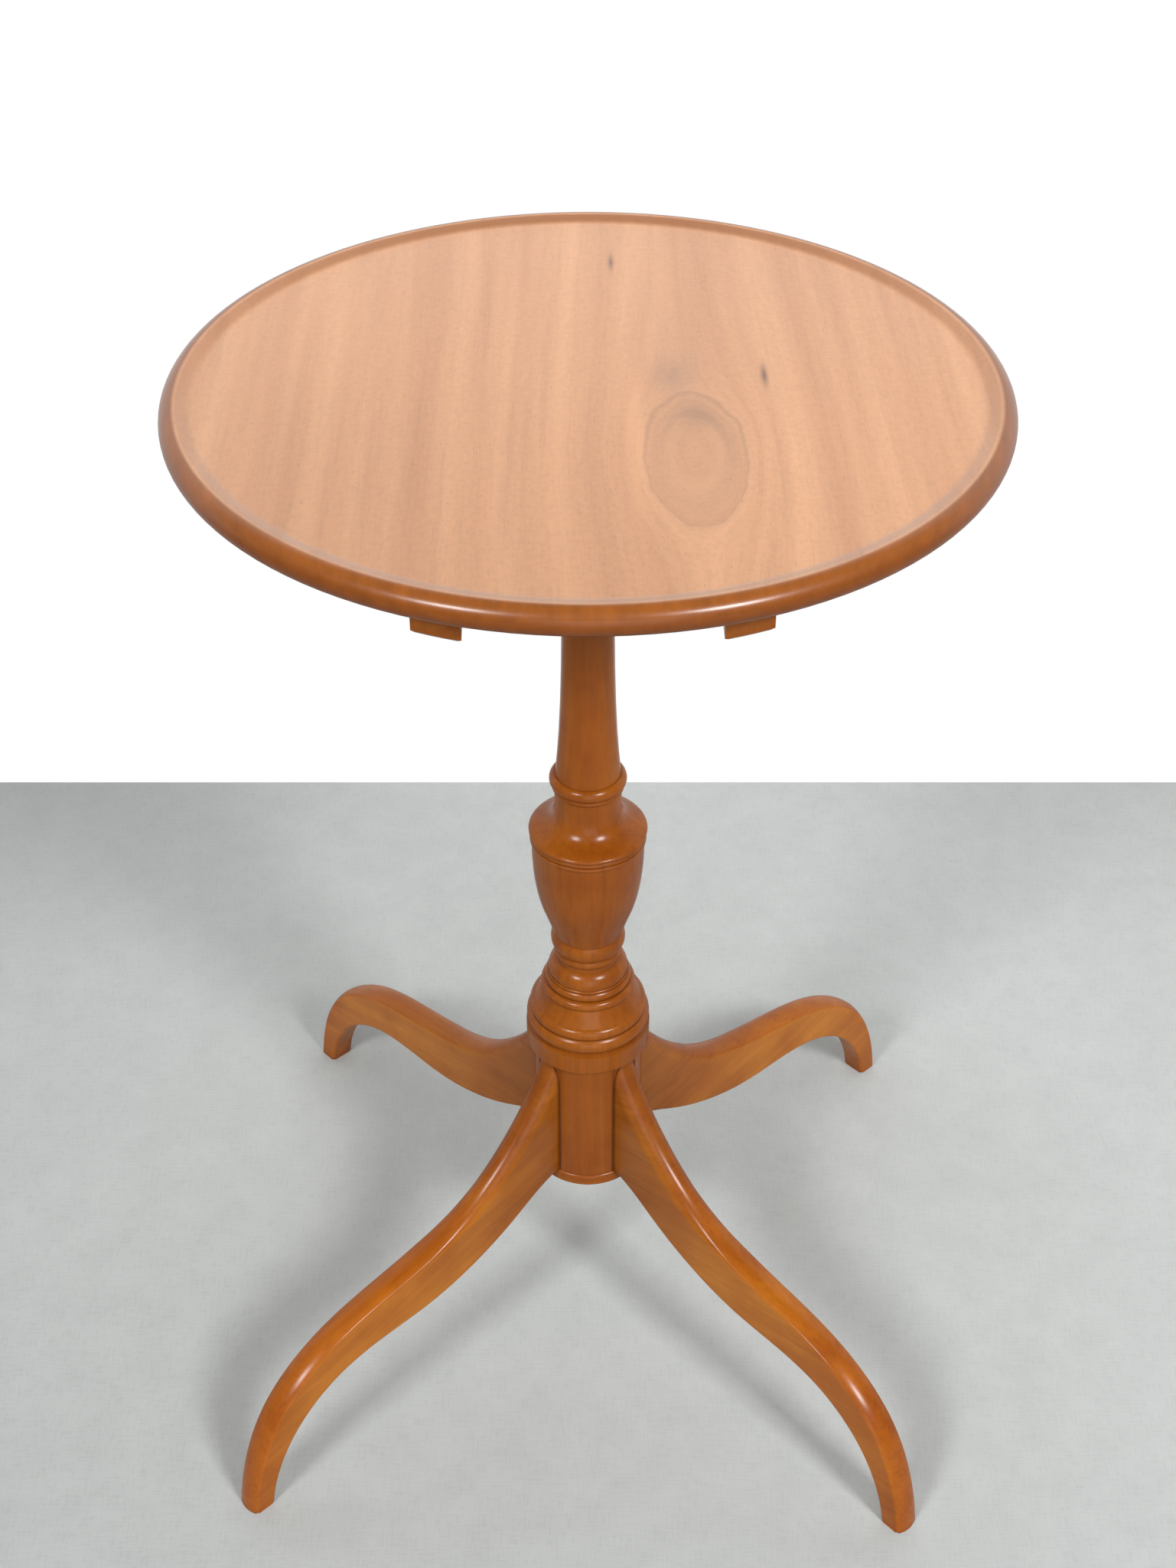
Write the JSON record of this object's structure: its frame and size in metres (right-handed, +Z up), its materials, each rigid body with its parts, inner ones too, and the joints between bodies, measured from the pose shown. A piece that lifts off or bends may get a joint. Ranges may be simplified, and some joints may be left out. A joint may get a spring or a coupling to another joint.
{
  "type": "tilt top table",
  "caption": "Round dished tray-top table that tips upright on a turned pillar with swept legs, held level by a sliding brass bolt.",
  "frame": {"origin": "on the floor under the pillar's axis", "axes": "+Z up; -Y is the front, towards which the dished face looks when the top is tipped up; +X to the right seen from the front"},
  "size_m": [0.4684, 0.4684, 0.7192],
  "materials": {
    "top_wood": "satin varnish, pinkish tan, straight grain with one swirl",
    "bearer_wood": "satin varnish",
    "block_wood": "satin varnish",
    "pillar_wood": "gloss varnish, turned",
    "leg_wood": "gloss varnish",
    "wedge_wood": "bare end grain",
    "steel": "plain steel",
    "brass": "aged brass",
    "spring_brass": "rolled spring brass"
  },
  "bodies": {
    "base": {"pillar": "pillar_wood", "hinge_block": "block_wood", "tenon_wedge": "wedge_wood", "leg_front_left": "leg_wood", "leg_front_right": "leg_wood", "leg_back_left": "leg_wood", "leg_back_right": "leg_wood", "base_disc": "pillar_wood", "disc_screws": "steel", "pivot_pin_left": "steel", "pivot_pin_right": "steel", "strike_plate": "brass", "strike_screws": "brass"},
    "top": {"top_board": "top_wood", "bearer_left": "bearer_wood", "bearer_right": "bearer_wood", "bearer_screws": "steel", "bolt_plate": "brass", "bolt_plate_screws": "brass", "bolt_guides": "brass", "bolt_leaf_spring": "spring_brass"},
    "bolt": {"bolt_bar": "brass", "bolt_knob": "brass"}
  },
  "joints": [
    {"name": "top_tilt", "type": "hinge", "parent": "base", "child": "top", "pos_m": [0, -0.0493, 0.6938], "axis": [1, 0, 0], "range_deg": [0, 90]},
    {"name": "bolt_slide", "type": "slide", "parent": "top", "child": "bolt", "axis": [0, -1, 0], "range_m": [0, 0.008]}
  ]
}
